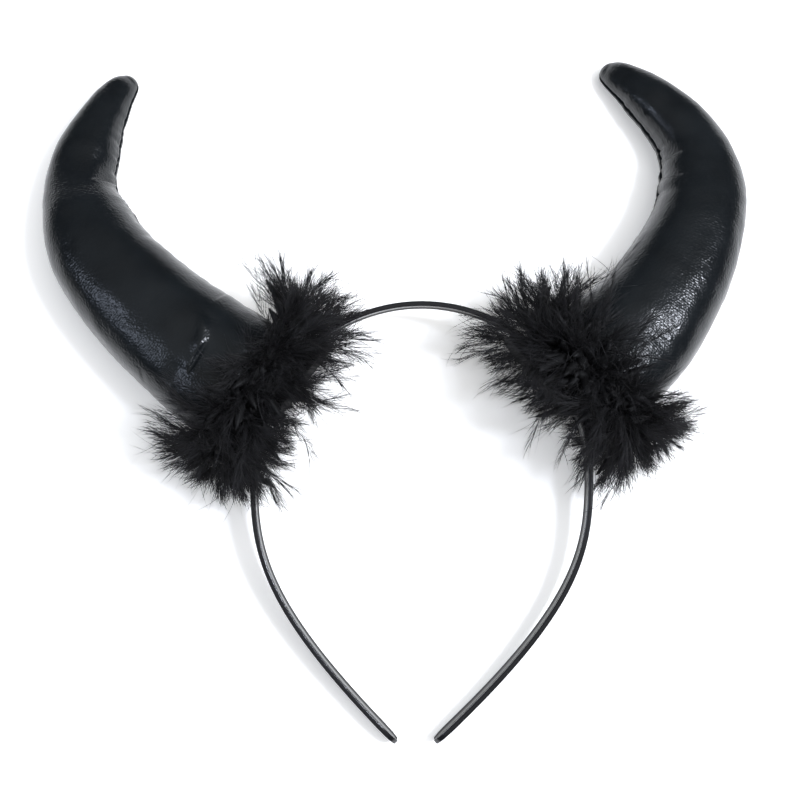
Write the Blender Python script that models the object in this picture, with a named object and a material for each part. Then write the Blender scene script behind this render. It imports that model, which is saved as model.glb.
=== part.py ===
"""Devil horns headband: a thin plastic alice band with two stuffed horns and marabou trims.

It lies on its back, as on a table: the horns rest on the surface along their undersides and the
band slopes down from the horns to its two tips. X runs across the band, Y from the tips to the
top of the arch, and Z is up. Lengths are in metres.
"""

import math
import random
from collections import namedtuple

import bpy
import bmesh
import numpy as np

MM = 0.001

# Gap between pieces that touch on the real object
CLEARANCE = 0.3 * MM

# Headband, a strip bent into an arch with two legs
BAND_HALF_WIDTH = 59.2 * MM
BAND_HEIGHT = 152.9 * MM
BAND_TIP_GAP = 14.8 * MM
BAND_STRIP = 10.0 * MM
BAND_THICKNESS = 1.8 * MM
BAND_RIM = 1.0 * MM
BAND_RECESS = 0.4 * MM
BAND_TIP_LENGTH = 9.0 * MM
BAND_TIP_STRIP = 4.0 * MM
BAND_TIP_HEIGHT = 4.5 * MM
LEG_END_ANGLE = math.radians(44)
LEG_START_PULL = 0.285
LEG_END_PULL = 0.74
LEG_SWAY = 2.1 * MM
ARCH_STEPS = 28
LEG_STEPS = 18

# Horns, each two panels sewn round a stuffed body
LEFT_HORN_LENGTH = 156.1 * MM
RIGHT_HORN_LENGTH = 152.6 * MM
HORN_BASE = 46.0 * MM
HORN_WALL = 1.2 * MM
HORN_SINK = 0.7 * MM
HORN_TIP_LIFT = 1.6 * MM
HORN_HOLLOW_END = 0.93
HORN_STATIONS = 20
HORN_SIDES = 9
SEAT_LENGTH = 0.16

# One row a section: place along the axis, heading of the axis in degrees, the outer and the
# inner half of the width, and the depth front to back, as shares of HORN_BASE
Section = namedtuple("Section", "along heading outer inner depth")
LEFT_HORN = (
    Section(0.00, 31, 0.490, 0.490, 0.66),
    Section(0.07, 33, 0.500, 0.500, 0.74),
    Section(0.18, 39, 0.490, 0.485, 0.80),
    Section(0.30, 42, 0.464, 0.442, 0.79),
    Section(0.42, 48, 0.435, 0.400, 0.75),
    Section(0.52, 58, 0.401, 0.362, 0.70),
    Section(0.59, 69, 0.360, 0.346, 0.64),
    Section(0.63, 77, 0.325, 0.320, 0.60),
    Section(0.67, 84, 0.309, 0.260, 0.54),
    Section(0.72, 91, 0.292, 0.236, 0.48),
    Section(0.79, 104, 0.246, 0.234, 0.44),
    Section(0.86, 111, 0.192, 0.189, 0.37),
    Section(0.93, 119, 0.142, 0.137, 0.27),
    Section(0.975, 131, 0.093, 0.093, 0.19),
    Section(1.00, 136, 0.042, 0.042, 0.09),
)
RIGHT_HORN = (
    Section(0.00, 43, 0.480, 0.480, 0.66),
    Section(0.07, 44, 0.485, 0.485, 0.74),
    Section(0.18, 46, 0.475, 0.475, 0.79),
    Section(0.30, 56, 0.430, 0.430, 0.77),
    Section(0.42, 66, 0.394, 0.394, 0.72),
    Section(0.52, 75, 0.356, 0.348, 0.67),
    Section(0.60, 92, 0.331, 0.330, 0.61),
    Section(0.66, 103, 0.291, 0.280, 0.56),
    Section(0.72, 115, 0.253, 0.242, 0.50),
    Section(0.79, 130, 0.221, 0.218, 0.45),
    Section(0.86, 136, 0.193, 0.188, 0.39),
    Section(0.93, 139, 0.144, 0.139, 0.28),
    Section(0.975, 146, 0.098, 0.096, 0.19),
    Section(1.00, 150, 0.045, 0.045, 0.09),
)

# Creases that start at the inner seam: place along the axis, half length of the groove along it,
# reach across the width and depth, as shares of the horn's length, width and base
Crease = namedtuple("Crease", "along spread reach depth")
LEFT_CREASES = (Crease(0.690, 0.020, 0.62, 0.075), Crease(0.200, 0.020, 0.20, 0.030))
RIGHT_CREASES = (Crease(0.660, 0.018, 0.34, 0.050), Crease(0.590, 0.018, 0.45, 0.045))

# Seats of the horns on the arch, above the arch's centre
LEFT_SEAT_ANGLE = math.radians(25.5)
RIGHT_SEAT_ANGLE = math.radians(28.0)

# Felt pads on the head side of the band, above the arch's centre
LEFT_PAD_ANGLE = math.radians(36.5)
RIGHT_PAD_ANGLE = math.radians(39.0)
PAD_LENGTH = 35.0 * MM
PAD_HEIGHT = 25.0 * MM
PAD_THICKNESS = 2.6 * MM
PAD_CORNER = 4.0 * MM
PAD_CORNER_STEPS = 5
PAD_REACH = math.sqrt(
    (BAND_HALF_WIDTH - BAND_THICKNESS - CLEARANCE) ** 2 - (PAD_LENGTH / 2) ** 2
)

# Marabou trims: a cord round each horn's base and the locks that stand on it
CORD_THICKNESS = 2.2 * MM
CORD_WIDTH = 4.4 * MM
CORD_OFFSET = 1.2 * MM
CORD_GAP = 2 * CLEARANCE
CORD_STEPS = 28
LOCK_LENGTH = 23.0 * MM
LOCK_WIDTH = 5.6 * MM
LOCK_THICKNESS = 2.6 * MM
LOCK_JITTER = 0.16
LOCK_SEED = 19
LOCK_CURL = math.radians(14)
LOCK_LEAN_JITTER = math.radians(6)

# Locks whose root faces further down than this would lie under the horn
LOWEST_LOCK = -0.55

# A lock beside the band or the pad leans back by this step until it clears them
LOCK_LEAN_STEP = math.radians(4)

# One row a ring of locks: lean off the radial direction towards the horn's tip, where the row
# stands across the cord, and the length as a share of LOCK_LENGTH
LOCKS_IN_ROW = 16
LockRow = namedtuple("LockRow", "lean across length")
LOCK_ROWS = (
    LockRow(math.radians(62), 0.30, 0.92),
    LockRow(math.radians(34), 0.16, 1.00),
    LockRow(math.radians(5), 0.00, 1.00),
    LockRow(math.radians(-25), -0.16, 1.05),
    LockRow(math.radians(-58), -0.30, 1.20),
)

# Profile of one lock: place along it and its width and thickness as shares
LockSection = namedtuple("LockSection", "along width thickness")
LOCK_PROFILE = (
    LockSection(0.00, 0.36, 0.60),
    LockSection(0.48, 1.00, 1.00),
    LockSection(1.00, 0.08, 0.16),
)

SEAT_HEIGHT = HORN_BASE * LEFT_HORN[0].depth / 2 + CORD_THICKNESS + CORD_GAP + CLEARANCE


def make_material(name, colour, roughness, metallic=0.0):
    """A Principled material; the colour is linear RGB."""
    material = bpy.data.materials.new(name)
    material.use_nodes = True
    shader = material.node_tree.nodes["Principled BSDF"]
    shader.inputs["Base Color"].default_value = (*colour, 1.0)
    shader.inputs["Roughness"].default_value = roughness
    shader.inputs["Metallic"].default_value = metallic
    return material


def add_object(name, points, faces, material, smooth_angle=math.radians(40)):
    """A mesh object from points and faces, with its faces turned outwards."""
    mesh = bpy.data.meshes.new(name)
    mesh.from_pydata([tuple(point) for point in points], [], faces)
    shape = bmesh.new()
    shape.from_mesh(mesh)
    bmesh.ops.recalc_face_normals(shape, faces=shape.faces)
    shape.to_mesh(mesh)
    shape.free()
    mesh.shade_smooth()
    mesh.set_sharp_from_angle(angle=smooth_angle)
    mesh.materials.append(material)
    obj = bpy.data.objects.new(name, mesh)
    bpy.context.scene.collection.objects.link(obj)
    return obj


def grid_faces(rows, columns, start=0, wrap=False):
    """Quads between neighbouring rows of a grid of points."""
    last = columns if wrap else columns - 1
    faces = []
    for row in range(rows - 1):
        for column in range(last):
            a = start + row * columns + column
            b = start + row * columns + (column + 1) % columns
            faces.append((a, b, b + columns, a + columns))
    return faces


def smooth_step(value):
    """0 below 0, 1 above 1, and an easy curve between them."""
    value = min(max(value, 0.0), 1.0)
    return value * value * (3.0 - 2.0 * value)


def cubic_reader(places, values):
    """A function that reads a smooth curve through the values at the given places."""
    places = np.array(places)
    values = np.array(values)
    slopes = np.gradient(values, places)

    def read(place):
        index = int(np.clip(np.searchsorted(places, place) - 1, 0, len(places) - 2))
        width = places[index + 1] - places[index]
        t = (place - places[index]) / width
        start = (1 + 2 * t) * (1 - t) ** 2 * values[index] + t * (1 - t) ** 2 * width * slopes[index]
        end = t * t * (3 - 2 * t) * values[index + 1] - t * t * (1 - t) * width * slopes[index + 1]
        return float(start + end)

    return read


class BandPath:
    """The outer face of the band: half a circle over the head and two curved legs.

    Places in the band's own plane are (across, drop), with drop measured from the arch's centre
    down to the tips. The plane slopes so that the tips lie on the table.
    """

    def __init__(self):
        leg_drop = BAND_HEIGHT - BAND_HALF_WIDTH
        seat_rise = BAND_HALF_WIDTH * math.sin((LEFT_SEAT_ANGLE + RIGHT_SEAT_ANGLE) / 2)
        self.slope = math.asin((SEAT_HEIGHT - BAND_TIP_HEIGHT) / (leg_drop + seat_rise))
        self.centre_height = SEAT_HEIGHT - seat_rise * math.sin(self.slope)
        self.normal = np.array((0.0, -math.sin(self.slope), math.cos(self.slope)))
        self.leg_drop = leg_drop

    def place(self, across, drop):
        """The point of the table's frame at a place in the band's plane."""
        sway = -LEG_SWAY * max(drop / self.leg_drop, 0.0) ** 2
        return np.array((
            across + sway,
            -drop * math.cos(self.slope),
            self.centre_height - drop * math.sin(self.slope),
        ))

    def half(self):
        """Places from the top of the arch down the right side to its tip."""
        places = []
        for step in range(ARCH_STEPS // 2):
            angle = math.pi / 2 * (1 - step / (ARCH_STEPS // 2))
            places.append((BAND_HALF_WIDTH * math.cos(angle), -BAND_HALF_WIDTH * math.sin(angle)))
        start = np.array((BAND_HALF_WIDTH, 0.0))
        end = np.array((BAND_TIP_GAP / 2, self.leg_drop))
        pull_start = start + (0.0, LEG_START_PULL * self.leg_drop)
        back = np.array((math.cos(LEG_END_ANGLE), -math.sin(LEG_END_ANGLE)))
        pull_end = end + LEG_END_PULL * self.leg_drop * back
        for step in range(LEG_STEPS + 1):
            t = step / LEG_STEPS
            place = (
                (1 - t) ** 3 * start
                + 3 * (1 - t) ** 2 * t * pull_start
                + 3 * (1 - t) * t * t * pull_end
                + t ** 3 * end
            )
            places.append(tuple(place))
        return places

    def seat(self, side, angle):
        """The point, outward direction and tangent of the band's outer face at a horn's seat."""
        across = side * BAND_HALF_WIDTH * math.cos(angle)
        point = self.place(across, -BAND_HALF_WIDTH * math.sin(angle))
        upwards = np.array((0.0, math.cos(self.slope), math.sin(self.slope)))
        sideways = np.array((float(side), 0.0, 0.0))
        out = sideways * math.cos(angle) + upwards * math.sin(angle)
        tangent = upwards * math.cos(angle) - sideways * math.sin(angle)
        return point, out, tangent

    def clears(self, corners, margin, side, pad_angle):
        """Whether a lock with these rings of corners stays outside the strip and off the pad."""
        centre = self.place(0.0, 0.0)
        upwards = np.array((0.0, math.cos(self.slope), math.sin(self.slope)))
        _, pad_out, pad_along = self.seat(side, pad_angle)
        rings = [np.array(ring) - centre for ring in corners]
        for ring, following in zip(rings, rings[1:]):
            for share in (0.0, 0.25, 0.5, 0.75, 1.0):
                for point in ring * (1 - share) + following * share:
                    rise = abs(point.dot(self.normal))
                    reach = math.hypot(point[0], max(point.dot(upwards), 0.0))
                    if rise < BAND_STRIP / 2 + margin and reach < BAND_HALF_WIDTH + margin:
                        return False
                    beside = abs(point.dot(pad_along)) - PAD_LENGTH / 2
                    deep = point.dot(pad_out)
                    if (
                        rise < PAD_HEIGHT / 2 + margin
                        and beside < margin
                        and PAD_REACH - PAD_THICKNESS - margin < deep < BAND_HALF_WIDTH
                    ):
                        return False
        return True


def build_headband(path, material):
    """The strip: swept round the path, recessed inside its rims, with narrowed round tips."""
    right = path.half()
    left = [(-across, drop) for across, drop in right[:0:-1]]
    line = np.array([path.place(*place) for place in left + right])
    ahead = np.roll(line, -1, axis=0) - np.roll(line, 1, axis=0)
    ahead[0] = line[1] - line[0]
    ahead[-1] = line[-1] - line[-2]
    run = np.concatenate(([0.0], np.cumsum(np.linalg.norm(np.diff(line, axis=0), axis=1))))
    points = []
    for point, along, place in zip(line, ahead, run):
        inward = np.cross(along / np.linalg.norm(along), path.normal)
        to_end = min(place, run[-1] - place)
        ease = math.sqrt(max(1 - (1 - min(to_end / BAND_TIP_LENGTH, 1.0)) ** 2, 0.0))
        half = (BAND_TIP_STRIP + (BAND_STRIP - BAND_TIP_STRIP) * ease) / 2
        rim = min(BAND_RIM, half / 2)
        for out, rise in (
            (0, -half), (0, half),
            (BAND_THICKNESS, half), (BAND_THICKNESS, half - rim),
            (BAND_THICKNESS - BAND_RECESS, half - 1.4 * rim),
            (BAND_THICKNESS - BAND_RECESS, 1.4 * rim - half),
            (BAND_THICKNESS, rim - half), (BAND_THICKNESS, -half),
        ):
            points.append(point + inward * out + path.normal * rise)
    count = 8
    faces = grid_faces(len(line), count, wrap=True)
    faces.append(tuple(range(count)))
    faces.append(tuple(range(len(points) - count, len(points))))
    return add_object("headband", points, faces, material)


class Horn:
    """One horn: its axis, its sections and the surfaces that its pieces take from them."""

    def __init__(self, side, length, sections, creases, seat, out, seat_angle):
        self.side = side
        self.length = length
        self.creases = creases
        places = [section.along for section in sections]
        self.heading = cubic_reader(places, [math.radians(s.heading) for s in sections])
        self.outer = cubic_reader(places, [s.outer * HORN_BASE for s in sections])
        self.inner = cubic_reader(places, [s.inner * HORN_BASE for s in sections])
        self.depth = cubic_reader(places, [s.depth * HORN_BASE for s in sections])
        askew = math.tan(self.heading(0.0) - seat_angle)
        self.start = seat + out * (CLEARANCE + BAND_HALF_WIDTH * askew ** 2 / 2)
        steps = 400
        self.steps = np.linspace(0.0, 1.0, steps + 1)
        headings = np.array([self.heading((a + b) / 2) for a, b in zip(self.steps, self.steps[1:])])
        stride = length / steps
        self.axis_x = np.concatenate(([0.0], np.cumsum(np.cos(headings)) * stride))
        self.axis_y = np.concatenate(([0.0], np.cumsum(np.sin(headings)) * stride))

    def centre_height(self, along):
        """Height of the seam's plane: the underside rests, and rises at the base and the tip."""
        cord_end = (CORD_OFFSET + CORD_WIDTH + CLEARANCE) / self.length
        base_rise = SEAT_HEIGHT - self.depth(0.0) / 2 + HORN_SINK
        seat_lift = base_rise * (1 - smooth_step((along - cord_end) / SEAT_LENGTH))
        tip_lift = HORN_TIP_LIFT * smooth_step((along - 0.8) / 0.2)
        return self.depth(along) / 2 - HORN_SINK + seat_lift + tip_lift

    def dent(self, along, across):
        """Depth of the creases at a place; across is -1 at the inner seam and 1 at the outer."""
        total = 0.0
        for crease in self.creases:
            groove = math.exp(-(((along - crease.along) / crease.spread) ** 2))
            fade = 1 - smooth_step((across + 1) / 2 / crease.reach)
            total += crease.depth * HORN_BASE * groove * fade
        return total

    def point(self, along, angle, inset=0.0, crease=True):
        """A point of the surface; angle runs from the outer seam (0) over the front (90 degrees)."""
        heading = self.heading(along)
        x = np.interp(along, self.steps, self.axis_x)
        y = np.interp(along, self.steps, self.axis_y)
        across = math.cos(angle)
        reach = self.outer(along) if across > 0 else self.inner(along)
        half_depth = self.depth(along) / 2
        flat = (reach - min(inset, 0.8 * reach)) * across
        rise = (half_depth - min(inset, 0.8 * half_depth)) * math.sin(angle)
        if crease and rise > 0:
            rise -= min(self.dent(along, across) * math.sin(angle), 0.6 * rise)
        centre = self.centre_height(along)
        height = centre + rise
        if rise < 0 and inset >= 0:
            height = max(height, inset)
        return np.array((
            self.start[0] + self.side * (x + flat * math.sin(heading)),
            self.start[1] + y - flat * math.cos(heading),
            height,
        ))


def horn_stations(horn):
    """Places along the axis: even steps, and one more on each side of every crease's middle."""
    places = set(np.linspace(0.0, 1.0, HORN_STATIONS))
    for crease in horn.creases:
        places = {p for p in places if abs(p - crease.along) > 0.6 * crease.spread or p in (0.0, 1.0)}
        places |= {crease.along - crease.spread, crease.along, crease.along + crease.spread}
    return sorted(places)


def build_panel(name, horn, front, material):
    """One sewn panel: a wall over the stuffing, closed along the seams, the base and the tip."""
    stations = horn_stations(horn)
    turn = math.pi if front else -math.pi
    angles = [turn * step / HORN_SIDES for step in range(HORN_SIDES + 1)]
    columns = len(angles)
    points = []
    for inset, last in ((0.0, 1.0), (HORN_WALL, HORN_HOLLOW_END)):
        for station in stations:
            for angle in angles:
                points.append(horn.point(station * last, angle, inset))
    points = np.array(points)
    seam = CLEARANCE / 2 if front else -CLEARANCE / 2
    points[:, 2] += seam
    if not front:
        points[:, 2] = np.maximum(points[:, 2], 0.0)
    rows = len(stations)
    inner = rows * columns
    faces = grid_faces(rows, columns) + grid_faces(rows, columns, inner)
    for column in range(columns - 1):
        faces.append((column, column + 1, inner + column + 1, inner + column))
    for edge in (0, columns - 1):
        for row in range(rows - 1):
            a = row * columns + edge
            b = a + columns
            faces.append((a, b, inner + b, inner + a))
    end = (rows - 1) * columns
    faces.append(tuple(range(end, end + columns)))
    faces.append(tuple(range(inner + end, inner + end + columns)))
    faces.append((end, end + columns - 1, inner + end + columns - 1, inner + end))
    return add_object(name, points, faces, material)


def build_stuffing(name, horn, material):
    """The fill: the hollow of the panels less the clearance all round."""
    inset = HORN_WALL + CLEARANCE
    first = CLEARANCE / horn.length
    stations = [max(station * HORN_HOLLOW_END, first) for station in horn_stations(horn)]
    stations[-1] -= first
    columns = 2 * HORN_SIDES
    points = []
    for station in stations:
        for step in range(columns):
            points.append(horn.point(station, math.pi * step / HORN_SIDES, inset))
    faces = grid_faces(len(stations), columns, wrap=True)
    faces.append(tuple(range(columns)))
    faces.append(tuple(range(len(points) - columns, len(points))))
    return add_object(name, points, faces, material)


def build_pad(name, path, side, angle, material):
    """A flat felt pad with round corners, its ends against the band's inner face."""
    seat, out, tangent = path.seat(side, angle)
    face = PAD_REACH - BAND_HALF_WIDTH
    outline = []
    for quarter, (sign_x, sign_z) in enumerate(((1, 1), (-1, 1), (-1, -1), (1, -1))):
        for step in range(PAD_CORNER_STEPS + 1):
            turn = math.pi / 2 * (quarter + step / PAD_CORNER_STEPS)
            outline.append((
                sign_x * (PAD_LENGTH / 2 - PAD_CORNER) + PAD_CORNER * math.cos(turn),
                sign_z * (PAD_HEIGHT / 2 - PAD_CORNER) + PAD_CORNER * math.sin(turn),
            ))
    points = []
    for depth in (face, face - PAD_THICKNESS):
        for along, rise in outline:
            points.append(seat + out * depth + tangent * along + path.normal * rise)
    count = len(outline)
    faces = grid_faces(2, count, wrap=True)
    faces.append(tuple(range(count)))
    faces.append(tuple(range(count, 2 * count)))
    return add_object(name, points, faces, material)


class FeatherTrim:
    """A cord laid round a horn's base, and the locks of feather that stand on it."""

    def __init__(self, horn, path, pad_angle, chooser):
        self.horn = horn
        self.path = path
        self.pad_angle = pad_angle
        self.chooser = chooser
        self.middle = (CORD_OFFSET + CORD_WIDTH / 2) / horn.length

    def frame(self, angle, across=0.0):
        """The horn's surface under the cord, with the outward and the axial direction there."""
        along = self.middle + across * CORD_WIDTH / self.horn.length
        point = self.horn.point(along, angle, crease=False)
        step = math.radians(2)
        round_it = self.horn.point(along, angle + step, crease=False) - self.horn.point(
            along, angle - step, crease=False
        )
        heading = self.horn.heading(along)
        axis = np.array((self.horn.side * math.cos(heading), math.sin(heading), 0.0))
        out = np.cross(axis, round_it) * self.horn.side
        out /= np.linalg.norm(out)
        return point, out, axis

    def cord_mesh(self):
        """Points and faces of the cord, which follows the horn's section."""
        profile = ((-0.5, 0.35), (-0.3, 0.0), (0.3, 0.0), (0.5, 0.35), (0.25, 1.0), (-0.25, 1.0))
        points = []
        for step in range(CORD_STEPS):
            angle = 2 * math.pi * step / CORD_STEPS
            for across, out_share in profile:
                point, out, _ = self.frame(angle, across)
                points.append(point + out * (CORD_GAP + out_share * CORD_THICKNESS))
        count = len(profile)
        points += points[:count]
        faces = grid_faces(CORD_STEPS + 1, count, wrap=True)
        faces = [tuple(index % (CORD_STEPS * count) for index in face) for face in faces]
        return points[: CORD_STEPS * count], faces

    def lock_rings(self, angle, row, lean, length, curl):
        """The rings of corners of one lock, from its root in the cord to its tip."""
        root, out, axis = self.frame(angle, row.across)
        side_way = np.cross(axis, out)
        position = root + out * (CORD_GAP + 0.45 * CORD_THICKNESS)
        direction = out * math.cos(lean) + axis * math.sin(lean)
        rings = []
        travelled = 0.0
        for section in LOCK_PROFILE:
            bend = curl * section.along
            heading = direction * math.cos(bend) + side_way * math.sin(bend)
            position = position + heading * (section.along - travelled) * length
            travelled = section.along
            half_width = section.width * LOCK_WIDTH / 2
            half_thick = section.thickness * LOCK_THICKNESS / 2
            wide = np.cross(heading, axis * math.cos(lean) - out * math.sin(lean))
            wide /= np.linalg.norm(wide)
            thick = np.cross(wide, heading)
            ring = np.array([
                position + wide * half_width * a + thick * half_thick * b
                for a, b in ((1, 0), (0, 1), (-1, 0), (0, -1))
            ])
            if rings:
                raise_by = max(CLEARANCE - ring[:, 2].min(), 0.0)
                ring[:, 2] += raise_by
                position[2] += raise_by
            rings.append(ring)
        return rings

    def lock_mesh(self, angle, row):
        """Points and faces of one lock, or None where the table leaves no room for it."""
        _, out, _ = self.frame(angle, row.across)
        if out[2] < LOWEST_LOCK:
            return None
        chooser = self.chooser
        lean = row.lean + chooser.uniform(-1, 1) * LOCK_LEAN_JITTER
        length = LOCK_LENGTH * row.length * (1 + chooser.uniform(-1, 1) * LOCK_JITTER)
        curl = LOCK_CURL * chooser.uniform(-1, 1)
        rings = self.lock_rings(angle, row, lean, length, curl)
        while lean < 0 and not self.path.clears(rings, CLEARANCE, self.horn.side, self.pad_angle):
            lean += LOCK_LEAN_STEP
            rings = self.lock_rings(angle, row, lean, length, curl)
        points = [corner for ring in rings for corner in ring]
        faces = grid_faces(len(rings), 4, wrap=True)
        faces.append((0, 1, 2, 3))
        faces.append(tuple(range(len(points) - 4, len(points))))
        return points, faces

    def build(self, name, material):
        """The cord with every lock joined to it in one body."""
        cord_points, cord_faces = self.cord_mesh()
        trim = add_object(name, cord_points, cord_faces, material)
        locks = bpy.data.collections.new(name + "_locks")
        bpy.context.scene.collection.children.link(locks)
        for number, row in enumerate(LOCK_ROWS):
            for step in range(LOCKS_IN_ROW):
                angle = 2 * math.pi * (step + 0.5 * (number % 2)) / LOCKS_IN_ROW
                made = self.lock_mesh(angle, row)
                if made is None:
                    continue
                lock = add_object(f"{name}_lock_{number}_{step}", *made, material)
                bpy.context.scene.collection.objects.unlink(lock)
                locks.objects.link(lock)
        union = trim.modifiers.new("Locks", "BOOLEAN")
        union.operation = "UNION"
        union.operand_type = "COLLECTION"
        union.collection = locks
        union.solver = "EXACT"
        union.use_self = True
        graph = bpy.context.evaluated_depsgraph_get()
        joined = bpy.data.meshes.new_from_object(trim.evaluated_get(graph))
        trim.modifiers.remove(union)
        trim.data = joined
        for lock in list(locks.objects):
            bpy.data.objects.remove(lock, do_unlink=True)
        bpy.data.collections.remove(locks)
        fill_pockets(joined)
        return trim


def fill_pockets(mesh):
    """Fills the closed pockets between crowded locks, whose shells face inwards."""
    shape = bmesh.new()
    shape.from_mesh(mesh)
    waiting = set(shape.faces)
    while waiting:
        shell = {waiting.pop()}
        edge_of_shell = list(shell)
        while edge_of_shell:
            for edge in edge_of_shell.pop().edges:
                for face in edge.link_faces:
                    if face in waiting:
                        waiting.remove(face)
                        shell.add(face)
                        edge_of_shell.append(face)
        volume = sum(
            face.calc_center_median().dot(face.normal) * face.calc_area() for face in shell
        )
        if volume < 0:
            bmesh.ops.delete(shape, geom=list(shell), context="FACES")
    shape.to_mesh(mesh)
    shape.free()


def centre_on_table(objects):
    """Shifts every object so that the middle of the whole outline stands over the origin."""
    bpy.context.view_layer.update()
    graph = bpy.context.evaluated_depsgraph_get()
    lows, highs = [], []
    for obj in objects:
        mesh = obj.evaluated_get(graph).to_mesh()
        points = np.empty(len(mesh.vertices) * 3, np.float32)
        mesh.vertices.foreach_get("co", points)
        points = points.reshape(-1, 3)
        lows.append(points.min(axis=0))
        highs.append(points.max(axis=0))
        obj.evaluated_get(graph).to_mesh_clear()
    low, high = np.min(lows, axis=0), np.max(highs, axis=0)
    holder = bpy.data.objects.new("table_frame", None)
    bpy.context.scene.collection.objects.link(holder)
    holder.location = (-(low[0] + high[0]) / 2, -(low[1] + high[1]) / 2, -low[2])
    return holder


def main():
    """Builds every piece and sets the whole on the table."""
    for obj in list(bpy.data.objects):
        bpy.data.objects.remove(obj, do_unlink=True)
    plastic = make_material("black_plastic", (0.012, 0.012, 0.013), 0.38)
    leather = make_material("black_faux_leather", (0.010, 0.011, 0.014), 0.22)
    fill = make_material("polyester_fill", (0.75, 0.75, 0.72), 0.95)
    felt = make_material("black_felt", (0.010, 0.010, 0.010), 0.95)
    feather = make_material("black_marabou", (0.008, 0.008, 0.009), 0.80)

    path = BandPath()
    pieces = [build_headband(path, plastic)]
    chooser = random.Random(LOCK_SEED)
    for word, side, angle, pad_angle, length, sections, creases in (
        (
            "left", -1, LEFT_SEAT_ANGLE, LEFT_PAD_ANGLE,
            LEFT_HORN_LENGTH, LEFT_HORN, LEFT_CREASES,
        ),
        (
            "right", 1, RIGHT_SEAT_ANGLE, RIGHT_PAD_ANGLE,
            RIGHT_HORN_LENGTH, RIGHT_HORN, RIGHT_CREASES,
        ),
    ):
        seat, out, _ = path.seat(side, angle)
        horn = Horn(side, length, sections, creases, seat, out, angle)
        pieces.append(build_panel(word + "_horn_front_panel", horn, True, leather))
        pieces.append(build_panel(word + "_horn_back_panel", horn, False, leather))
        pieces.append(build_stuffing(word + "_horn_stuffing", horn, fill))
        pieces.append(build_pad(word + "_base_pad", path, side, pad_angle, felt))
        trim = FeatherTrim(horn, path, pad_angle, chooser)
        pieces.append(trim.build(word + "_feather_trim", feather))
    holder = centre_on_table(pieces)
    for obj in list(bpy.data.objects):
        if obj is not holder:
            obj.parent = holder


main()
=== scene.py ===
"""Devil horns headband as it lies on a white table.

A thin plastic alice band carries two stuffed, glossy horns of faux leather, each in a ring of
marabou. Lengths are in metres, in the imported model's frame: X across the band, Y from its tips to
the horns, Z up off the table.
"""

import logging
import math
from dataclasses import dataclass, field
from enum import Enum
from typing import Any, Callable, Sequence

import bmesh
import bpy
import numpy as np
from mathutils import Matrix, Vector, noise

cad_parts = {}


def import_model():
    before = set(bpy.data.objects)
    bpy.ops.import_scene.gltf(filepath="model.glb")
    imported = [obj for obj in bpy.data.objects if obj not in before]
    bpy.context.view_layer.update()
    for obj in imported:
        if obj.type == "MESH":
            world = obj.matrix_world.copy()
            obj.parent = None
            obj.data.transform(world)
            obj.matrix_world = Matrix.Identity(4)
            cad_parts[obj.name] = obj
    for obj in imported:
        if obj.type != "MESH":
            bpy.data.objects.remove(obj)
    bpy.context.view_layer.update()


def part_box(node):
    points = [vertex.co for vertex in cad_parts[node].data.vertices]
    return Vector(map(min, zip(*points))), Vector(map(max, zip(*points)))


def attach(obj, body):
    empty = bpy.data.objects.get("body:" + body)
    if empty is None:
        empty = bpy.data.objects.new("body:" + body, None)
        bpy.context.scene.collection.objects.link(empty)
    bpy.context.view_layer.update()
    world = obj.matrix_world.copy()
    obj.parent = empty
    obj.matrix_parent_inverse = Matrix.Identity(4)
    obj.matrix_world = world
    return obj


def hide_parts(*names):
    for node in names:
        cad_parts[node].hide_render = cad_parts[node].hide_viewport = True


LOG = logging.getLogger("headband")
MM = 0.001
CLEARANCE = 0.3 * MM

Array = np.ndarray


class Side(Enum):
    """The two sides of the headband as the camera sees them."""

    LEFT = -1
    RIGHT = 1

    @property
    def word(self) -> str:
        """The side's name as it stands in the names of nodes."""
        return self.name.lower()


def linear(code: str) -> tuple[float, float, float, float]:
    """Turns an sRGB hex value to linear RGBA.

    Args:
        code: The colour as "#rrggbb".

    Returns:
        Red, green, blue and an alpha of 1.
    """
    channels = [int(code[place:place + 2], 16) / 255 for place in (1, 3, 5)]
    red, green, blue = [
        channel / 12.92 if channel <= 0.04045 else ((channel + 0.055) / 1.055) ** 2.4
        for channel in channels
    ]
    return red, green, blue, 1.0


def add_node(
    tree: bpy.types.NodeTree,
    kind: str,
    settings: dict[str, Any] | None = None,
    links: dict[str, Any] | None = None,
) -> bpy.types.Node:
    """Adds a shader node with its settings and links.

    Args:
        tree: The node tree that gets it.
        kind: The node's type name.
        settings: Values by attribute name, or by input name or number with a leading "in:".
        links: Output sockets by the name or number of the input that they feed.

    Returns:
        The new node.
    """
    node = tree.nodes.new(kind)
    for name, value in (settings or {}).items():
        if name.startswith("in:"):
            key = name[3:]
            node.inputs[int(key) if key.isdigit() else key].default_value = value
        else:
            setattr(node, name, value)
    for name, socket in (links or {}).items():
        tree.links.new(socket, node.inputs[int(name) if name.isdigit() else name])
    return node


def start_material(name: str) -> tuple[bpy.types.Material, bpy.types.NodeTree]:
    """Makes an empty Principled material.

    Args:
        name: The material's name.

    Returns:
        The material and its node tree.
    """
    material = bpy.data.materials.new(name)
    material.use_nodes = True
    return material, material.node_tree


def grid_faces(rows: int, columns: int, wrap: bool = False) -> Array:
    """Quads between neighbouring rows of a grid of points.

    Args:
        rows: How many rows there are.
        columns: How many points a row has.
        wrap: Whether the last column joins the first.

    Returns:
        One row of four indices a face.
    """
    row, column = np.meshgrid(
        np.arange(rows - 1), np.arange(columns if wrap else columns - 1), indexing="ij"
    )
    a = row * columns + column
    b = row * columns + (column + 1) % columns
    return np.stack([a, b, b + columns, a + columns], axis=-1).reshape(-1, 4)


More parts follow.
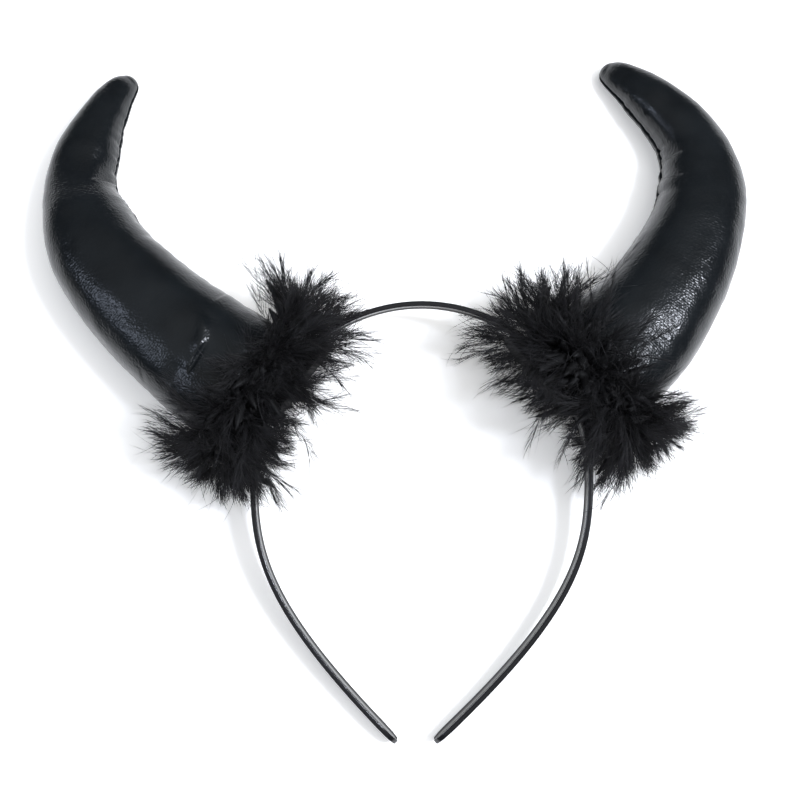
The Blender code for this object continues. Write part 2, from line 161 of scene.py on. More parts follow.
def tube_faces(rows: int, columns: int) -> list[list[int]]:
    """Faces of a tube of closed rings, with one face over each end."""
    last = (rows - 1) * columns
    ends = [list(range(columns)), list(range(last, last + columns))]
    return grid_faces(rows, columns, wrap=True).tolist() + ends


def copied_faces(one: Array, count: int, size: int) -> Array:
    """Faces of many strands with the same number of points.

    Args:
        one: The first strand's faces.
        count: How many strands.
        size: How many points a strand has.

    Returns:
        One row of four indices a face.
    """
    return (one[None] + (np.arange(count) * size)[:, None, None]).reshape(-1, 4)


def cubic(t: Array, start: Array, first: Array, second: Array, end: Array) -> Array:
    """Points of a cubic curve.

    Args:
        t: Places along it, from 0 to 1.
        start: Its first point.
        first: The point that it heads for from the start.
        second: The point that it comes from at the end.
        end: Its last point.

    Returns:
        One point a place.
    """
    return (
        (1 - t) ** 3 * start + 3 * (1 - t) ** 2 * t * first
        + 3 * (1 - t) * t * t * second + t ** 3 * end
    )


def mesh_piece(
    name: str,
    points: Array,
    faces: Sequence[Sequence[int]] | Array,
    material: bpy.types.Material,
    attributes: dict[str, Array] | None = None,
    closed: bool = True,
) -> bpy.types.Object:
    """Makes a smooth mesh object in the scene.

    Args:
        name: The piece's name.
        points: One row of X, Y and Z a point.
        faces: Indices of the points of each face.
        material: Its material.
        attributes: Values by name, one number a point.
        closed: Whether its faces are turned outwards.

    Returns:
        The new object.
    """
    mesh = bpy.data.meshes.new(name)
    listed = faces.tolist() if isinstance(faces, np.ndarray) else [list(face) for face in faces]
    mesh.from_pydata(np.asarray(points, float).tolist(), [], listed)
    if closed:
        shape = bmesh.new()
        shape.from_mesh(mesh)
        bmesh.ops.recalc_face_normals(shape, faces=shape.faces)
        shape.to_mesh(mesh)
        shape.free()
    mesh.shade_smooth()
    for label, values in (attributes or {}).items():
        layer = mesh.attributes.new(label, "FLOAT", "POINT")
        layer.data.foreach_set("value", np.asarray(values, np.float32).ravel())
    mesh.materials.append(material)
    piece = bpy.data.objects.new(name, mesh)
    bpy.context.scene.collection.objects.link(piece)
    return piece


def smooth_step(value: Array | float) -> Array | float:
    """An easy curve from 0 at 0 to 1 at 1, flat outside."""
    value = np.clip(value, 0.0, 1.0)
    return value * value * (3.0 - 2.0 * value)


def unit(vectors: Array) -> Array:
    """The vectors at length 1, along their last axis."""
    return vectors / np.maximum(np.linalg.norm(vectors, axis=-1, keepdims=True), 1e-12)


def smooth_reader(places: Sequence[float], values: Sequence[float]) -> Callable[[Array], Array]:
    """Makes a function that reads a smooth curve through a short table.

    Args:
        places: Where the values stand, rising.
        values: The values there.

    Returns:
        A function of an array of places.
    """
    at = np.array(places, float)
    value = np.array(values, float)
    slope = np.gradient(value, at)

    def read(place: Array) -> Array:
        """The curve's values at these places."""
        place = np.asarray(place, float)
        index = np.clip(np.searchsorted(at, place) - 1, 0, len(at) - 2)
        width = at[index + 1] - at[index]
        t = (place - at[index]) / width
        start = (1 + 2 * t) * (1 - t) ** 2 * value[index] + t * (1 - t) ** 2 * width * slope[index]
        end = t * t * (3 - 2 * t) * value[index + 1] - t * t * (1 - t) * width * slope[index + 1]
        return start + end

    return read


def field_noise(points: Array, scale: float, seed: float) -> Array:
    """Soft noise between about -1 and 1 at each point.

    Args:
        points: Points of any leading shape.
        scale: Size of its lumps, in metres.
        seed: Shifts the pattern.

    Returns:
        One value a point.
    """
    flat = (points.reshape(-1, 3) / scale + seed * 17.3).tolist()
    return np.array([noise.noise(Vector(point)) for point in flat]).reshape(points.shape[:-1])


def place_in(tree: bpy.types.NodeTree) -> bpy.types.NodeSocket:
    """Adds the piece's own coordinates, in metres."""
    return add_node(tree, "ShaderNodeTexCoord").outputs["Object"]


def attribute(tree: bpy.types.NodeTree, name: str) -> bpy.types.NodeSocket:
    """Adds the reader of a mesh attribute."""
    return add_node(tree, "ShaderNodeAttribute", {"attribute_name": name}).outputs["Fac"]


def lumps(
    tree: bpy.types.NodeTree, size: float, detail: float = 2.0, warp: float = 0.0
) -> bpy.types.NodeSocket:
    """Adds soft noise in the piece's own space.

    Args:
        tree: The node tree that gets it.
        size: Size of its lumps, in metres.
        detail: How finely it breaks up.
        warp: How much it is distorted.

    Returns:
        The noise, from 0 to 1.
    """
    settings = {"in:Scale": 1 / size, "in:Detail": detail, "in:Distortion": warp}
    return add_node(tree, "ShaderNodeTexNoise", settings, {"Vector": place_in(tree)}).outputs["Fac"]


def tint(
    tree: bpy.types.NodeTree, share: bpy.types.NodeSocket, dark: str, pale: str
) -> bpy.types.NodeSocket:
    """Adds a mix of two colours.

    Args:
        tree: The node tree that gets it.
        share: How much of the second colour shows.
        dark: The first colour as "#rrggbb".
        pale: The second colour.

    Returns:
        The mixed colour.
    """
    settings = {"data_type": "RGBA", "in:6": linear(dark), "in:7": linear(pale)}
    return add_node(tree, "ShaderNodeMix", settings, {"0": share}).outputs[2]


def ranged(
    tree: bpy.types.NodeTree, value: bpy.types.NodeSocket, to: tuple[float, float],
    of: tuple[float, float] = (0.0, 1.0),
) -> bpy.types.NodeSocket:
    """Adds a map from one range to another, level beyond its ends.

    Args:
        tree: The node tree that gets it.
        value: What it maps.
        to: The results at the range's ends.
        of: The range that it maps.

    Returns:
        The result.
    """
    settings = {"in:From Min": of[0], "in:From Max": of[1], "in:To Min": to[0], "in:To Max": to[1]}
    return add_node(tree, "ShaderNodeMapRange", settings, {"Value": value}).outputs["Result"]


def bump(
    tree: bpy.types.NodeTree, height: bpy.types.NodeSocket, strength: float, depth: float,
    under: bpy.types.NodeSocket | None = None,
) -> bpy.types.NodeSocket:
    """Adds relief to the shading.

    Args:
        tree: The node tree that gets it.
        height: The relief, from 0 to 1.
        strength: How much of it shows.
        depth: Its height in metres.
        under: A normal that it stands on.

    Returns:
        The normal.
    """
    links = {"Height": height} if under is None else {"Height": height, "Normal": under}
    settings = {"in:Strength": strength, "in:Distance": depth}
    return add_node(tree, "ShaderNodeBump", settings, links).outputs["Normal"]


def fill_shader(tree: bpy.types.NodeTree, inputs: dict[str, Any]) -> None:
    """Gives a Principled shader its values and links.

    Args:
        tree: The material's node tree.
        inputs: Values or output sockets by the name of the input.
    """
    shader = tree.nodes["Principled BSDF"]
    for name, value in inputs.items():
        if isinstance(value, bpy.types.NodeSocket):
            tree.links.new(value, shader.inputs[name])
        else:
            shader.inputs[name].default_value = value


@dataclass(frozen=True)
class FauxLeather:
    """Polyurethane-coated knit, sewn inside out and turned: glossy black with a blue cast."""

    name: str = "polyurethane_faux_leather"
    deep: str = "#0b0d0f"
    worn: str = "#181c1f"
    cloud: float = 14.0 * MM
    ripple: float = 6.0 * MM
    ripple_depth: float = 0.28 * MM
    rib_mm: float = 0.8
    rib_depth: float = 0.06 * MM
    bands_in_scale: float = 3.2
    grain: float = 0.8 * MM
    grain_depth: float = 0.10 * MM
    roughness: tuple[float, float] = (0.18, 0.30)
    seam_fade_mm: tuple[float, float] = (0.5, 1.6)
    specular: float = 0.36
    index: float = 1.5

    def make(self) -> bpy.types.Material:
        """The coat: pressed grain and soft ripples break its reflections up, and seams stay dull."""
        material, tree = start_material(self.name)
        cloud = lumps(tree, self.cloud, 4.0)
        cloth = add_node(
            tree, "ShaderNodeCombineXYZ", {},
            {"X": attribute(tree, "along_mm"), "Y": attribute(tree, "round_mm")},
        )
        ribs = add_node(
            tree, "ShaderNodeTexWave",
            {"in:Scale": 1 / self.rib_mm / self.bands_in_scale, "in:Distortion": 1.6,
             "in:Detail": 2.0, "in:Detail Scale": 2.5},
            {"Vector": cloth.outputs["Vector"]},
        )
        grain = add_node(
            tree, "ShaderNodeTexVoronoi", {"in:Scale": 1 / self.grain, "feature": "F1"},
            {"Vector": place_in(tree)},
        )
        soft = bump(tree, lumps(tree, self.ripple), 0.5, self.ripple_depth)
        woven = bump(tree, ribs.outputs["Fac"], 0.35, self.rib_depth, soft)
        fill_shader(tree, {
            "Base Color": tint(tree, cloud, self.deep, self.worn),
            "Specular IOR Level": ranged(
                tree, attribute(tree, "seam_mm"), (0.0, self.specular), self.seam_fade_mm
            ),
            "Normal": bump(tree, grain.outputs["Distance"], 0.8, self.grain_depth, woven),
            "Roughness": ranged(tree, cloud, self.roughness),
            "IOR": self.index,
        })
        return material


@dataclass(frozen=True)
class MouldedPlastic:
    """Injection-moulded black polypropylene, polished by its mould."""

    name: str = "moulded_black_plastic"
    body: str = "#131315"
    flow: str = "#1c1c1f"
    mark: float = 9.0 * MM
    mark_depth: float = 0.1 * MM
    roughness: tuple[float, float] = (0.12, 0.2)

    def make(self) -> bpy.types.Material:
        """Near-black and glossy, with faint flow marks that bend its long reflections."""
        material, tree = start_material(self.name)
        marks = lumps(tree, self.mark, 3.0)
        fill_shader(tree, {
            "Base Color": tint(tree, marks, self.body, self.flow),
            "Normal": bump(tree, marks, 0.2, self.mark_depth),
            "Roughness": ranged(tree, marks, self.roughness),
        })
        return material


@dataclass(frozen=True)
class Felt:
    """Pressed black polyester felt with short loose fibres."""

    name: str = "pressed_black_felt"
    body: str = "#070708"
    lint: str = "#111112"
    fibre: float = 0.7 * MM
    nap_depth: float = 0.3 * MM
    roughness: float = 0.95
    specular: float = 0.25

    def make(self) -> bpy.types.Material:
        """Dull black that catches no highlight, with a fibrous surface."""
        material, tree = start_material(self.name)
        fibres = lumps(tree, self.fibre, 6.0, 1.5)
        fill_shader(tree, {
            "Base Color": tint(tree, fibres, self.body, self.lint),
            "Normal": bump(tree, fibres, 0.7, self.nap_depth),
            "Roughness": self.roughness,
            "Specular IOR Level": self.specular,
        })
        return material


@dataclass(frozen=True)
class Marabou:
    """Dyed marabou down: matt barbs, paler at their thin tips, with painted shade that keeps their
    roots darkest, deep in the mass.
    """

    name: str = "dyed_marabou"
    root: str = "#111112"
    tip: str = "#313134"
    tuft: float = 6.0 * MM
    roughness: float = 0.62
    specular: float = 0.3

    def make(self) -> bpy.types.Material:
        """Soft black with painted shade: near black at the roots and in the close down, deep in the
        mass, to dark grey at the tips.
        """
        material, tree = start_material(self.name)
        # Painted shade: the tip colour's share rises from the barbs' roots to their tips, so the
        # depth of the mass stays darkest.
        share = add_node(
            tree, "ShaderNodeMath", {"operation": "MULTIPLY"},
            {"0": attribute(tree, "to_tip"), "1": lumps(tree, self.tuft)},
        )
        fill_shader(tree, {
            "Base Color": tint(tree, share.outputs["Value"], self.root, self.tip),
            "Roughness": self.roughness,
            "Specular IOR Level": self.specular,
        })
        return material


@dataclass(frozen=True)
class WhiteTable:
    """The photographer's table: matt white acrylic, lit a little from below."""

    name: str = "white_table"
    body: str = "#f4f4f4"
    glow: float = 0.36

    def make(self) -> bpy.types.Material:
        """Matt white and lit, so that its soft shadows stay pale."""
        material, tree = start_material(self.name)
        fill_shader(tree, {
            "Base Color": linear(self.body),
            "Roughness": 0.9,
            "Specular IOR Level": 0.0,
            "Emission Color": linear("#ffffff"),
            "Emission Strength": self.glow,
        })
        return material


@dataclass
class AliceBand:
    """The moulded strip: half a circle over the head and two legs that curve in to the tips.

    The band's own plane slopes so that the tips lie on the table. Places in it are (across, drop),
    with drop measured from the arch's centre down to the tips.
    """

    half_width: float = 59.2 * MM
    height: float = 152.9 * MM
    tip_gap: float = 14.8 * MM
    strip: float = 10.0 * MM
    thickness: float = 1.8 * MM
    rim: float = 1.0 * MM
    recess: float = 0.4 * MM
    edge: float = 0.35 * MM
    tip_length: float = 9.0 * MM
    tip_strip: float = 4.0 * MM
    tip_height: float = 4.5 * MM
    leg_end_angle: float = math.radians(44)
    leg_start_pull: float = 0.285
    leg_end_pull: float = 0.74
    leg_sway: float = 2.1 * MM
    seat_height: float = 18.28 * MM
    mean_seat_angle: float = math.radians(26.75)
    arch_steps: int = 60
    leg_steps: int = 90
    leg_drop: float = field(init=False)
    slope: float = field(init=False)
    centre: Array = field(init=False)
    upwards: Array = field(init=False)
    normal: Array = field(init=False)

    def __post_init__(self) -> None:
        """Works the slope out and reads the arch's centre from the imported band."""
        self.leg_drop = self.height - self.half_width
        rise = self.half_width * math.sin(self.mean_seat_angle)
        self.slope = math.asin((self.seat_height - self.tip_height) / (self.leg_drop + rise))
        self.upwards = np.array((0.0, math.cos(self.slope), math.sin(self.slope)))
        self.normal = np.array((0.0, -math.sin(self.slope), math.cos(self.slope)))
        low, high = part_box("headband")
        reach = self.half_width * math.cos(self.slope) + self.strip / 2 * math.sin(self.slope)
        self.centre = np.array((
            (low[0] + high[0]) / 2,
            high[1] - reach,
            self.seat_height - rise * math.sin(self.slope),
        ))

    def place(self, across: Array, drop: Array) -> Array:
        """Points of the outer face's middle line at places in the band's plane."""
        sway = self.leg_sway * np.maximum(drop / self.leg_drop, 0.0) ** 2
        shifted = across - sway
        return (
            self.centre
            + shifted[..., None] * np.array((1.0, 0.0, 0.0))
            - drop[..., None] * self.upwards
        )

    def line(self) -> Array:
        """Points of the outer face's middle line from the left tip to the right tip."""
        turn = np.linspace(math.pi / 2, 0.0, self.arch_steps // 2, endpoint=False)
        across = self.half_width * np.cos(turn)
        drop = -self.half_width * np.sin(turn)
        start = np.array((self.half_width, 0.0))
        end = np.array((self.tip_gap / 2, self.leg_drop))
        back = np.array((math.cos(self.leg_end_angle), -math.sin(self.leg_end_angle)))
        first = start + (0.0, self.leg_start_pull * self.leg_drop)
        second = end + self.leg_end_pull * self.leg_drop * back
        t = np.linspace(0.0, 1.0, self.leg_steps)[:, None]
        leg = cubic(t, start, first, second, end)
        across = np.concatenate((across, leg[:, 0]))
        drop = np.concatenate((drop, leg[:, 1]))
        across = np.concatenate((-across[:0:-1], across))
        drop = np.concatenate((drop[:0:-1], drop))
        return self.place(across, drop)

    def seat(self, side: Side, angle: float) -> tuple[Array, Array, Array]:
        """The outer face at an angle over the arch's centre.

        Args:
            side: Which side of the arch.
            angle: Above the line through the arch's centre.

        Returns:
            The point, and the outward and tangent directions there.
        """
        sideways = np.array((float(side.value), 0.0, 0.0))
        out = sideways * math.cos(angle) + self.upwards * math.sin(angle)
        tangent = self.upwards * math.cos(angle) - sideways * math.sin(angle)
        return self.centre + out * self.half_width, out, tangent

    def hides(self, points: Array, margin: float) -> Array:
        """Which points lie in the strip, or between it and the head, beside the arch."""
        away = points - self.centre
        rise = np.abs(away @ self.normal)
        reach = np.hypot(away[..., 0], np.maximum(away @ self.upwards, 0.0))
        return (rise < self.strip / 2 + margin) & (reach < self.half_width + margin)

    def build(self, plastic: bpy.types.Material) -> bpy.types.Object:
        """Sweeps the rounded strip, with the shallow channel of its inner face.

        Args:
            plastic: The band's material.

        Returns:
            The band, which replaces its solid.
        """
        line = self.line()
        ahead = unit(np.gradient(line, axis=0))
        inward = np.cross(ahead, self.normal)
        run = np.concatenate(([0.0], np.cumsum(np.linalg.norm(np.diff(line, axis=0), axis=1))))
        to_end = np.minimum(run, run[-1] - run)
        ease = np.sqrt(np.maximum(1 - (1 - np.minimum(to_end / self.tip_length, 1.0)) ** 2, 0.0))
        half = (self.tip_strip + (self.strip - self.tip_strip) * ease) / 2
        rings = []
        for out, rise_share, offset in self.profile():
            rise = rise_share * half + offset
            rings.append(line + inward * out + self.normal * rise[:, None])
        points = np.stack(rings, axis=1)
        faces = tube_faces(*points.shape[:2])
        piece = mesh_piece("band_moulding", points.reshape(-1, 3), faces, plastic)
        bevel_ends(piece, self.edge)
        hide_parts("headband")
        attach(piece, "root")
        return piece

    def profile(self) -> list[tuple[float, float, float]]:
        """The section: how far in from the outer face, and the rise as a share and an offset."""
        depth, rim, cut, edge = self.thickness, self.rim, self.recess, self.edge
        near = edge * (1 - math.sqrt(0.5))
        upper = [
            (0.0, 0.0, 0.0), (0.0, 1.0, -edge), (near, 1.0, -near), (edge, 1.0, 0.0),
            (depth - edge, 1.0, 0.0), (depth - near, 1.0, -near), (depth, 1.0, -edge),
            (depth, 1.0, -rim * 0.8), (depth - cut * 0.5, 1.0, -rim),
            (depth - cut, 1.0, -rim * 1.25), (depth - cut, 0.0, 0.0),
        ]
        lower = [(out, -share, -offset) for out, share, offset in upper[-2:0:-1]]
        return upper + lower


def bevel_ends(piece: bpy.types.Object, width: float) -> None:
    """Rounds the sharp edges at a swept piece's two end faces.

    Args:
        piece: The swept mesh.
        width: Width of the rounding.
    """
    shape = bmesh.new()
    shape.from_mesh(piece.data)
    edges = [edge for edge in shape.edges if edge.is_manifold and edge.calc_face_angle() > 1.2]
    edges = [edge for edge in edges if any(len(face.verts) > 4 for face in edge.link_faces)]
    bmesh.ops.bevel(shape, geom=edges, offset=width, segments=2, affect="EDGES", profile=0.6)
    shape.to_mesh(piece.data)
    shape.free()
    piece.data.shade_smooth()


@dataclass(frozen=True)
class Section:
    """One section of a horn, in shares of the horn's base width."""

    along: float
    heading: float
    outer: float
    inner: float
    depth: float


@dataclass(frozen=True)
class Crease:
    """A fold that starts at the inner seam, in shares of the horn's length, width and base."""

    along: float
    spread: float
    reach: float
    depth: float


@dataclass(frozen=True)
class Fold:
    """A free tuck in the front: a groove, with a crest on its tip side that slopes away.

    Its ends are places along the horn and angles round it, its width and depth are in mm, and
    its lift is the crest's height as a share of the depth.
    """

    start: tuple[float, float]
    end: tuple[float, float]
    width: float
    depth: float
    lift: float = 1.0


@dataclass(frozen=True)
class Trough:
    """A long shallow hollow in the front that runs along the horn.

    Its ends are places along the horn, its angle is in degrees, its width and depth in mm.
    """

    start: float
    end: float
    angle: float
    width: float
    depth: float


LEFT_SECTIONS = (
    Section(0.00, 31, 0.490, 0.490, 0.66),
    Section(0.07, 33, 0.500, 0.500, 0.74),
    Section(0.18, 39, 0.490, 0.485, 0.80),
    Section(0.30, 42, 0.464, 0.442, 0.79),
    Section(0.42, 48, 0.435, 0.400, 0.75),
    Section(0.52, 58, 0.401, 0.362, 0.70),
    Section(0.59, 69, 0.360, 0.346, 0.64),
    Section(0.63, 77, 0.325, 0.320, 0.60),
    Section(0.67, 84, 0.309, 0.260, 0.54),
    Section(0.72, 91, 0.292, 0.236, 0.48),
    Section(0.79, 104, 0.246, 0.234, 0.44),
    Section(0.86, 111, 0.192, 0.189, 0.37),
    Section(0.93, 119, 0.142, 0.137, 0.27),
    Section(0.975, 131, 0.093, 0.093, 0.19),
    Section(1.00, 136, 0.042, 0.042, 0.09),
)
RIGHT_SECTIONS = (
    Section(0.00, 43, 0.480, 0.480, 0.66),
    Section(0.07, 44, 0.485, 0.485, 0.74),
    Section(0.18, 46, 0.475, 0.475, 0.79),
    Section(0.30, 56, 0.430, 0.430, 0.77),
    Section(0.42, 66, 0.394, 0.394, 0.72),
    Section(0.52, 75, 0.356, 0.348, 0.67),
    Section(0.60, 92, 0.331, 0.330, 0.61),
    Section(0.66, 103, 0.291, 0.280, 0.56),
    Section(0.72, 115, 0.253, 0.242, 0.50),
    Section(0.79, 130, 0.221, 0.218, 0.45),
    Section(0.86, 136, 0.193, 0.188, 0.39),
    Section(0.93, 139, 0.144, 0.139, 0.28),
    Section(0.975, 146, 0.098, 0.096, 0.19),
    Section(1.00, 150, 0.045, 0.045, 0.09),
)
LEFT_CREASES = (Crease(0.672, 0.020, 0.36, 0.080), Crease(0.200, 0.020, 0.20, 0.030))
RIGHT_CREASES = (Crease(0.660, 0.018, 0.34, 0.050), Crease(0.590, 0.018, 0.34, 0.030))
LEFT_FOLDS = (
    Fold((0.160, 97), (0.149, 70), 0.8, 0.7, 0.4),
    Fold((0.158, 54), (0.152, 42), 0.8, 0.5, 0.6),
    Fold((0.172, 78), (0.160, 46), 3.0, 0.7, 0.0),
    Fold((0.160, 86), (0.205, 113), 2.6, -0.9, 0.0),
    Fold((0.372, 78), (0.360, 28), 4.0, 0.5, 0.0),
    Fold((0.235, 40), (0.215, 18), 1.3, 0.4, 0.6),
)
RIGHT_FOLDS = (
    Fold((0.228, 94), (0.206, 34), 2.2, 0.38, 0.0),
    Fold((0.190, 94), (0.170, 34), 1.8, 0.30, 0.0),
    Fold((0.470, 40), (0.440, 18), 2.0, 0.3, 0.4),
)
RIGHT_TROUGHS = (Trough(0.700, 0.930, 146, 1.2, 0.20),)


@dataclass
class Horn:
    """A stuffed horn: two panels sewn along the outer and the inner curve, closed at the base."""

    side: Side
    band: AliceBand
    sections: tuple[Section, ...]
    creases: tuple[Crease, ...]
    folds: tuple[Fold, ...]
    troughs: tuple[Trough, ...]
    seat_angle: float
    seed: float
    length: float
    base: float = 46.0 * MM
    sink: float = 0.7 * MM
    tip_lift: float = 1.6 * MM
    seat_length: float = 0.16
    cord_offset: float = 1.2 * MM
    cord_width: float = 4.4 * MM
    stations: int = 330
    columns: int = 144
    stitch: float = 2.9 * MM
    seam_depth: float = 0.6 * MM
    fullness: float = 2.5
    skin_end: float = 0.984
    tip_rings: int = 7
    base_rings: int = 7
    base_dome_mm: float = 1.6
    gathers: int = 14
    gather_depth: float = 0.03
    axis_steps: int = 400
    seam_width: float = 0.5 * MM
    welt_height: float = 0.15 * MM
    welt_offset: float = 1.2 * MM
    welt_width: float = 0.9 * MM
    outer_pucker: float = 0.10 * MM
    inner_pucker: float = 0.24 * MM
    swell: tuple[float, float] = (0.45 * MM, 19.0 * MM)
    ripple: tuple[float, float] = (0.16 * MM, 6.5 * MM)
    wrinkle_count: int = 26

    def __post_init__(self) -> None:
        """Prepares the axis and the readers of the sections."""
        places = [section.along for section in self.sections]
        self.heading = smooth_reader(places, [math.radians(s.heading) for s in self.sections])
        self.outer = smooth_reader(places, [s.outer * self.base for s in self.sections])
        self.inner = smooth_reader(places, [s.inner * self.base for s in self.sections])
        self.depth = smooth_reader(places, [s.depth * self.base for s in self.sections])
        seat, out, _ = self.band.seat(self.side, self.seat_angle)
        askew = math.tan(float(self.heading(0.0)) - self.seat_angle)
        self.start = seat + out * (CLEARANCE + self.band.half_width * askew ** 2 / 2)
        self.steps = np.linspace(0.0, 1.0, self.axis_steps + 1)
        headings = self.heading((self.steps[:-1] + self.steps[1:]) / 2)
        stride = self.length / self.axis_steps
        self.axis_x = np.concatenate(([0.0], np.cumsum(np.cos(headings)) * stride))
        self.axis_y = np.concatenate(([0.0], np.cumsum(np.sin(headings)) * stride))

    def centre_height(self, along: Array) -> Array:
        """Height of the seams: the underside rests, and rises at the base and the tip."""
        depth = self.depth(along)
        cord_end = (self.cord_offset + self.cord_width + CLEARANCE) / self.length
        base_rise = self.band.seat_height - float(self.depth(0.0)) / 2 + self.sink
        seat_lift = base_rise * (1 - smooth_step((along - cord_end) / self.seat_length))
        tip_lift = self.tip_lift * smooth_step((along - 0.8) / 0.2)
        return depth / 2 - self.sink + seat_lift + tip_lift

    def full(self, value: Array) -> Array:
        """A sine or cosine, fuller than a circle's, as a tightly stuffed section has it."""
        return np.sign(value) * np.abs(value) ** (2 / self.fullness)

    def surface(self, along: Array, angle: Array) -> Array:
        """Points of the smooth horn.

        Args:
            along: Places along the axis.
            angle: From the outer seam (0) over the front.

        Returns:
            Points of the same shape as the places.
        """
        along, angle = np.broadcast_arrays(along, angle)
        held = np.clip(along, 0.0, 1.0)
        heading = self.heading(held)
        over = (along - held) * self.length
        x = np.interp(held, self.steps, self.axis_x) + over * np.cos(heading)
        y = np.interp(held, self.steps, self.axis_y) + over * np.sin(heading)
        across = self.full(np.cos(angle))
        reach = np.where(across > 0, self.outer(held), self.inner(held))
        flat = reach * across
        rise = self.depth(held) / 2 * self.full(np.sin(angle))
        height = self.centre_height(held) + rise
        return np.stack((
            self.start[0] + self.side.value * (x + flat * np.sin(heading)),
            self.start[1] + y - flat * np.cos(heading),
            np.where(rise < 0, np.maximum(height, 0.0), height),
        ), axis=-1)

    def frame(self, angle: Array, across: Array) -> tuple[Array, Array, Array]:
        """The surface under the trim's cord.

        Args:
            angle: Places round the horn.
            across: Places across the cord, in metres from its middle.

        Returns:
            Points, outward directions and the axis's direction.
        """
        along = (self.cord_offset + self.cord_width / 2 + across) / self.length
        step = math.radians(2)
        point = self.surface(along, angle)
        round_it = self.surface(along, angle + step) - self.surface(along, angle - step)
        heading = self.heading(along)
        axis = np.stack(np.broadcast_arrays(
            self.side.value * np.cos(heading), np.sin(heading), np.zeros_like(heading)
        ), axis=-1)
        out = unit(np.cross(axis, round_it) * self.side.value)
        return point, out, axis

    def relief(self, along: Array, angle: Array, points: Array) -> Array:
        """How far the sewn and stuffed skin stands off the smooth horn, in metres.

        Args:
            along: Places along the axis.
            angle: Places round it.
            points: The smooth horn's points there.

        Returns:
            One distance a point, positive outwards.
        """
        radius = (self.outer(along) + self.depth(along) / 2) / 2
        to_outer = np.abs((angle + math.pi) % (2 * math.pi) - math.pi) * radius
        to_inner = np.abs(angle - math.pi) * radius
        taper = smooth_step((1.0 - along) / 0.12)
        total = np.zeros_like(radius)
        chooser = np.random.default_rng(int(self.seed) + 40)
        for distance, strength in ((to_outer, self.outer_pucker), (to_inner, self.inner_pucker)):
            total -= self.seam_depth * np.exp(-(distance / self.seam_width) ** 2) * taper
            welt = np.exp(-((distance - self.welt_offset) / self.welt_width) ** 2)
            total += self.welt_height * welt * taper
            total += self.puckers(chooser, along, distance, strength) * taper
        total += self.wrinkles(along, to_inner, angle) * taper
        for number, (height, size) in enumerate((self.swell, self.ripple)):
            total += height * field_noise(points, size, self.seed + 5 * number) * taper
        return total

    def puckers(
        self, chooser: np.random.Generator, along: Array, distance: Array, strength: float
    ) -> Array:
        """Short dips at the stitches, unevenly spaced and deep, that fade away from the seam.

        Args:
            chooser: Source of the random draws.
            along: Places along the axis.
            distance: How far each place is from the seam.
            strength: Depth of a middling dip.

        Returns:
            One distance a point, negative in the dips.
        """
        run = along * self.length
        total = np.zeros_like(run)
        place = 0.0
        while place < self.length:
            width = self.stitch * chooser.uniform(0.26, 0.46)
            reach = self.stitch * chooser.uniform(0.5, 2.6)
            slant = chooser.uniform(-0.3, 0.3)
            depth = strength * chooser.uniform(0.2, 1.9)
            offset = run - place - slant * distance
            total -= depth * np.exp(-(offset / width) ** 2 - (distance / reach) ** 1.5)
            place += self.stitch * chooser.uniform(0.65, 1.5)
        return total

    def wrinkles(self, along: Array, to_inner: Array, angle: Array) -> Array:
        """Fine folds that run out from the inner seam where the horn bends."""
        chooser = np.random.default_rng(int(self.seed))
        total = np.zeros_like(along)
        for _ in range(self.wrinkle_count):
            middle = chooser.uniform(0.42, 0.92)
            width = chooser.uniform(0.7, 1.7) * MM
            reach = chooser.uniform(5, 15) * MM
            slant = chooser.uniform(-0.35, 0.35)
            height = chooser.uniform(-0.34, 0.22) * MM
            front = chooser.random() < 0.5
            facing = np.sin(angle) > 0 if front else np.sin(angle) <= 0
            offset = (along - middle) * self.length - slant * to_inner
            fold = np.exp(-(offset / (width * (1 + to_inner / (9 * MM)))) ** 2)
            total += height * fold * np.exp(-(to_inner / reach) ** 2) * facing
        return total

    def dents(self, along: Array, angle: Array) -> Array:
        """How far the big creases push the front in, in metres."""
        share = (np.cos(angle) + 1) / 2
        total = np.zeros_like(along)
        for crease in self.creases:
            offset = (along - crease.along - 0.012) / crease.spread
            hollow = smooth_step(offset / 0.35) * np.exp(-np.maximum(offset, 0.0) / 3.0)
            hollow += 0.35 * np.exp(-(((offset - 0.2) / 0.16) ** 2))
            bulge = np.exp(-((offset + 0.9) / 1.1) ** 2)
            fade = 1 - smooth_step(share / crease.reach)
            total += crease.depth * self.base * (0.95 * hollow - 0.22 * bulge) * fade
        turn = np.degrees(angle)
        for fold in self.folds:
            (near, first), (far, last) = fold.start, fold.end
            part = (turn - first) / (last - first)
            offset = (along - near - (far - near) * part) * self.length / MM / fold.width
            window = smooth_step(part / 0.25) * smooth_step((1 - part) / 0.35)
            crest = smooth_step(offset / 1.3) * np.exp(-np.maximum(offset - 1.3, 0.0) / 3.2)
            total += fold.depth * MM * (np.exp(-(offset ** 2)) - fold.lift * crest) * window
        radius = (self.outer(along) + self.depth(along) / 2) / 2
        for trough in self.troughs:
            part = (along - trough.start) / (trough.end - trough.start)
            window = smooth_step(part / 0.12) * smooth_step((1 - part) / 0.5)
            offset = np.radians(turn - trough.angle) * radius / MM / trough.width
            total += trough.depth * MM * np.exp(-(offset ** 2)) * window
        return total * np.clip(np.sin(angle), 0.0, 1.0) ** 0.35

